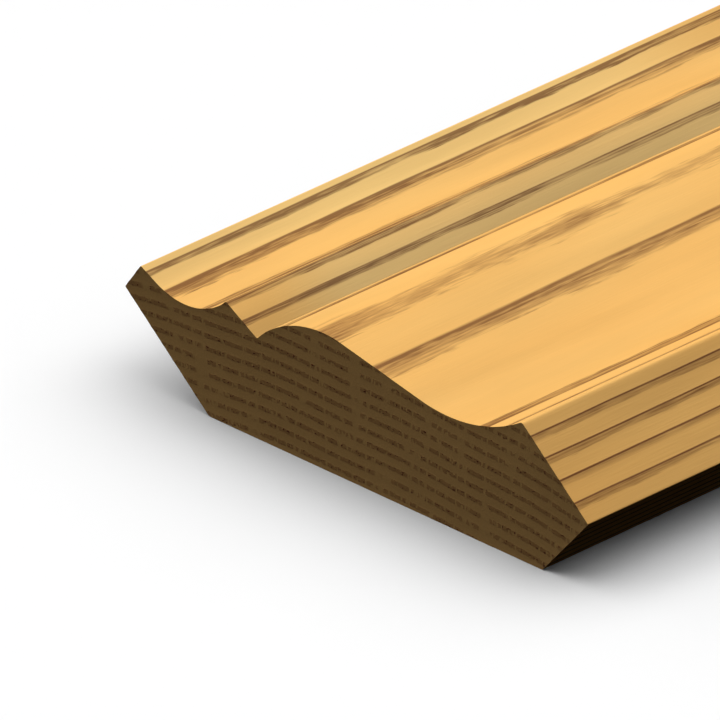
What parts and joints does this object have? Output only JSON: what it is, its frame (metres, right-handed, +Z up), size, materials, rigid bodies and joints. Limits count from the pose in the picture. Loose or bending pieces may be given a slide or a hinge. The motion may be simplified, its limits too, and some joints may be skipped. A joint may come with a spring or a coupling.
{
  "type": "crown moulding",
  "caption": "Short square-cut length of bare softwood crown moulding: a small cove, a fillet, a wide ogee and a fascia, over wall and ceiling bevels and a flat back.",
  "frame": {"origin": "under the middle of the moulding's box, on the surface that its flat back lies on", "axes": "+X across the face from the wall side (toe and small cove) to the ceiling side (fascia), +Y along the length from the near cut end to the far one, +Z up from the back to the moulded face"},
  "size_m": [0.0826, 0.11, 0.0194],
  "materials": {
    "softwood": "bare planed softwood, flat-sawn, with dark latewood lines along it and square-cut end grain"
  },
  "bodies": {
    "root": {"crown_moulding": "softwood"}
  },
  "joints": []
}
